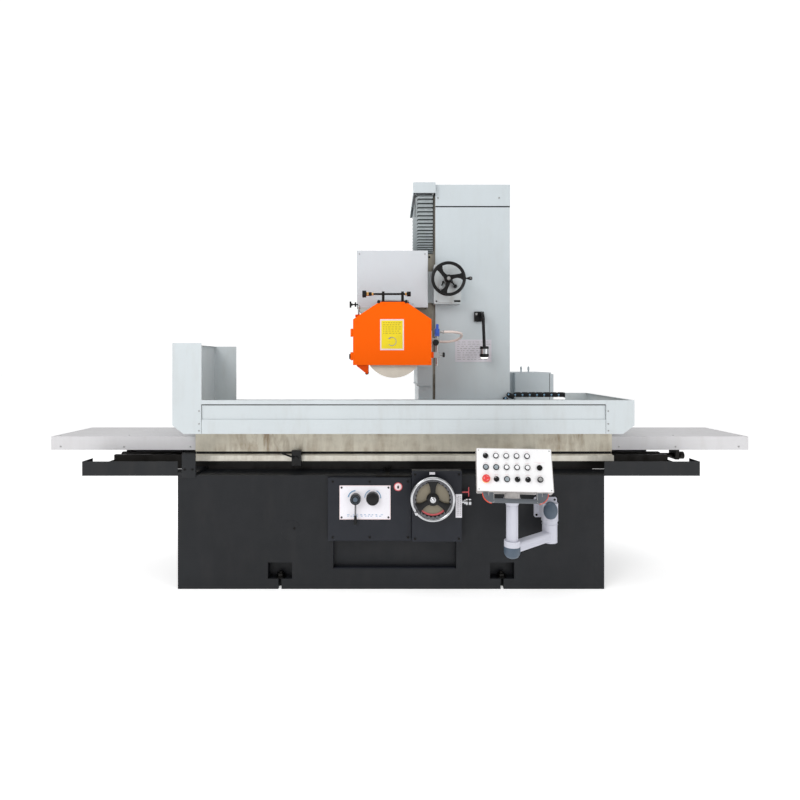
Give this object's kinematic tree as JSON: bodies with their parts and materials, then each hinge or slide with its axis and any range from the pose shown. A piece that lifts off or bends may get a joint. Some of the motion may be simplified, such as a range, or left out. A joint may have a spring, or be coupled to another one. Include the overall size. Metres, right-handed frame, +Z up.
{
  "type": "surface grinder",
  "caption": "Reciprocating-table surface grinder: long bed, splash trough round a magnetic chuck, column with a guarded wheel on a cross-sliding head, and a swivelling control pendant.",
  "frame": {"origin": "centre of the front bed's footprint, on the floor", "axes": "+X to the operator's right along the table's stroke, +Y away from the operator, +Z up"},
  "size_m": [4.302, 2.1291, 2.644],
  "materials": {
    "bed_paint": "textured enamel on a casting",
    "grey_casting": "painted casting",
    "light_sheet": "satin enamel",
    "dark_sheet": "satin enamel",
    "machined_iron": "ground and scraped, oiled",
    "steel": "turned",
    "chrome": "polished",
    "guard_orange": "gloss enamel",
    "abrasive": "coarse grit",
    "black_plastic": "moulded",
    "bellows_cloth": "coated cloth",
    "chain_plastic": "moulded",
    "hose_rubber": "clear braided hose",
    "brass": "turned",
    "plate_white": "laminated plate",
    "pendant_grey": "anodised extrusion",
    "pendant_paint": "satin enamel",
    "red_plastic": "moulded",
    "white_plastic": "moulded"
  },
  "bodies": {
    "bed": {"bed_base": "bed_paint", "bed_rails": "machined_iron", "bed_trays": "dark_sheet", "front_cover": "bed_paint", "control_plate": "plate_white", "feed_gearbox": "bed_paint", "proximity_switches": "steel", "column": "grey_casting", "column_covers": "light_sheet", "upper_bellows": "bellows_cloth", "lower_cover_base": "light_sheet", "lamp_base": "black_plastic", "electrical_cabinet": "light_sheet", "drag_chain": "chain_plastic", "pendant_bracket": "grey_casting", "table_cylinder": "steel"},
    "table": {"table": "machined_iron", "splash_trough": "light_sheet", "way_covers": "light_sheet", "magnetic_chuck": "steel", "dog_rail": "machined_iron", "piston_rod": "chrome"},
    "dog_left": {"dog_left": "black_plastic"},
    "dog_right": {"dog_right": "black_plastic"},
    "carriage": {"carriage": "grey_casting", "carriage_cover": "light_sheet", "crossfeed_gearbox": "grey_casting", "lower_cover_top": "light_sheet"},
    "elevating_screw": {"elevating_screw": "steel"},
    "cross_handwheel": {"cross_handwheel": "black_plastic"},
    "wheelhead": {"wheelhead": "grey_casting", "spindle_motor": "grey_casting", "wheel_guard": "guard_orange", "coolant_valve": "steel", "coolant_hose": "hose_rubber", "dresser": "steel"},
    "dresser_knob": {"dresser_knob": "black_plastic"},
    "spindle": {"spindle": "steel", "grinding_wheel": "abrasive", "wheel_flange": "steel"},
    "guard_door": {"guard_door": "guard_orange"},
    "valve_lever": {"valve_lever": "steel"},
    "feed_handwheel": {"feed_handwheel": "chrome"},
    "clutch_knob": {"clutch_knob": "chrome"},
    "throttle_lever": {"throttle_lever": "black_plastic"},
    "speed_knob": {"speed_knob": "black_plastic"},
    "pendant_arm": {"pendant_arm": "pendant_grey", "pendant_post": "pendant_grey"},
    "pendant_box": {"pendant_box": "pendant_paint", "pilot_lamps": "white_plastic"},
    "lamp_arm": {"lamp_arm": "black_plastic"},
    "e_stop": {"e_stop": "red_plastic"},
    "dial_knob": {"dial_knob": "black_plastic"},
    "selector_1": {"selector_1": "black_plastic"},
    "selector_2": {"selector_2": "black_plastic"},
    "selector_3": {"selector_3": "black_plastic"},
    "selector_4": {"selector_4": "black_plastic"},
    "button_1": {"button_1": "white_plastic"},
    "button_2": {"button_2": "white_plastic"},
    "button_3": {"button_3": "white_plastic"}
  },
  "joints": [
    {"name": "table_slide", "type": "slide", "parent": "bed", "child": "table", "axis": [1, 0, 0], "range_m": [-0.9, 0.72], "deforming": ["drag_chain"]},
    {"name": "dog_left_slide", "type": "slide", "parent": "table", "child": "dog_left", "axis": [1, 0, 0], "range_m": [-0.5, 0.45]},
    {"name": "dog_right_slide", "type": "slide", "parent": "table", "child": "dog_right", "axis": [1, 0, 0], "range_m": [-0.45, 0.4]},
    {"name": "carriage_lift", "type": "slide", "parent": "bed", "child": "carriage", "axis": [0, 0, 1], "range_m": [-0.18, 0.22], "deforming": ["upper_bellows"]},
    {"name": "elevating_screw_turn", "type": "hinge", "parent": "bed", "child": "elevating_screw", "pos_m": [0.275, 0.77, 1.5], "axis": [0, 0, 1], "range_deg": [-8200, 10000]},
    {"name": "wheelhead_cross", "type": "slide", "parent": "carriage", "child": "wheelhead", "axis": [0, 1, 0], "range_m": [-0.36, 0.14]},
    {"name": "cross_handwheel_turn", "type": "hinge", "parent": "carriage", "child": "cross_handwheel", "pos_m": [0.406, 0.25, 1.915], "axis": [0, 1, 0], "range_deg": [-5300, 2100]},
    {"name": "spindle_turn", "type": "hinge", "parent": "wheelhead", "child": "spindle", "pos_m": [0.02, 0.095, 1.421], "axis": [0, 1, 0], "continuous": true},
    {"name": "guard_door_hinge", "type": "hinge", "parent": "wheelhead", "child": "guard_door", "pos_m": [-0.263, 0.0614, 1.507], "axis": [0, 0, 1], "range_deg": [-95, 0]},
    {"name": "valve_lever_turn", "type": "hinge", "parent": "wheelhead", "child": "valve_lever", "pos_m": [0.313, 0.1, 1.532], "axis": [0, 1, 0], "range_deg": [0, 90]},
    {"name": "dresser_knob_turn", "type": "hinge", "parent": "wheelhead", "child": "dresser_knob", "pos_m": [-0.206, 0.1145, 1.79], "axis": [1, 0, 0], "continuous": true},
    {"name": "feed_handwheel_turn", "type": "hinge", "parent": "bed", "child": "feed_handwheel", "pos_m": [0.235, -0.52, 0.556], "axis": [0, 1, 0], "continuous": true},
    {"name": "clutch_knob_push", "type": "slide", "parent": "bed", "child": "clutch_knob", "axis": [1, 0, 0], "range_m": [-0.01, 0]},
    {"name": "throttle_lever_turn", "type": "hinge", "parent": "bed", "child": "throttle_lever", "pos_m": [-0.205, -0.445, 0.538], "axis": [0, 1, 0], "range_deg": [-45, 60]},
    {"name": "speed_knob_turn", "type": "hinge", "parent": "bed", "child": "speed_knob", "pos_m": [-0.106, -0.445, 0.54], "axis": [0, 1, 0], "range_deg": [-135, 135]},
    {"name": "pendant_arm_swing", "type": "hinge", "parent": "bed", "child": "pendant_arm", "pos_m": [0.9, -0.52, 0.345], "axis": [0, 0, 1], "range_deg": [-10, 90]},
    {"name": "pendant_box_swivel", "type": "hinge", "parent": "pendant_arm", "child": "pendant_box", "pos_m": [0.64, -0.735, 0.608], "axis": [0, 0, 1], "range_deg": [-60, 60]},
    {"name": "lamp_arm_swing", "type": "hinge", "parent": "bed", "child": "lamp_arm", "pos_m": [0.664, 0.423, 1.676], "axis": [0, 1, 0], "range_deg": [-45, 12]},
    {"name": "e_stop_push", "type": "slide", "parent": "pendant_box", "child": "e_stop", "axis": [-0.0969, -0.9221, 0.3746], "range_m": [-0.005, 0], "stiffness_N_per_m": 1500, "springref_m": 0.004},
    {"name": "dial_knob_turn", "type": "hinge", "parent": "pendant_box", "child": "dial_knob", "pos_m": [0.77533, -0.78422, 0.71364], "axis": [-0.0969, -0.9221, 0.3746], "range_deg": [-150, 150]},
    {"name": "selector_1_turn", "type": "hinge", "parent": "pendant_box", "child": "selector_1", "pos_m": [0.50367, -0.70933, 0.82768], "axis": [-0.0969, -0.9221, 0.3746], "range_deg": [-45, 45]},
    {"name": "selector_2_turn", "type": "hinge", "parent": "pendant_box", "child": "selector_2", "pos_m": [0.55256, -0.7608, 0.71364], "axis": [-0.0969, -0.9221, 0.3746], "range_deg": [-45, 45]},
    {"name": "selector_3_turn", "type": "hinge", "parent": "pendant_box", "child": "selector_3", "pos_m": [0.65997, -0.77209, 0.71364], "axis": [-0.0969, -0.9221, 0.3746], "range_deg": [-45, 45]},
    {"name": "selector_4_turn", "type": "hinge", "parent": "pendant_box", "child": "selector_4", "pos_m": [0.71367, -0.77774, 0.71364], "axis": [-0.0969, -0.9221, 0.3746], "range_deg": [-45, 45]},
    {"name": "button_1_push", "type": "slide", "parent": "pendant_box", "child": "button_1", "axis": [-0.0969, -0.9221, 0.3746], "range_m": [-0.004, 0], "stiffness_N_per_m": 400, "springref_m": 0.004},
    {"name": "button_2_push", "type": "slide", "parent": "pendant_box", "child": "button_2", "axis": [-0.0969, -0.9221, 0.3746], "range_m": [-0.004, 0], "stiffness_N_per_m": 400, "springref_m": 0.004},
    {"name": "button_3_push", "type": "slide", "parent": "pendant_box", "child": "button_3", "axis": [-0.0969, -0.9221, 0.3746], "range_m": [-0.004, 0], "stiffness_N_per_m": 400, "springref_m": 0.004}
  ],
  "couplings": [
    {"joint": "elevating_screw_turn", "follows": "carriage_lift", "rad_per_m": 785.4},
    {"joint": "cross_handwheel_turn", "follows": "wheelhead_cross", "rad_per_m": 251.33}
  ]
}
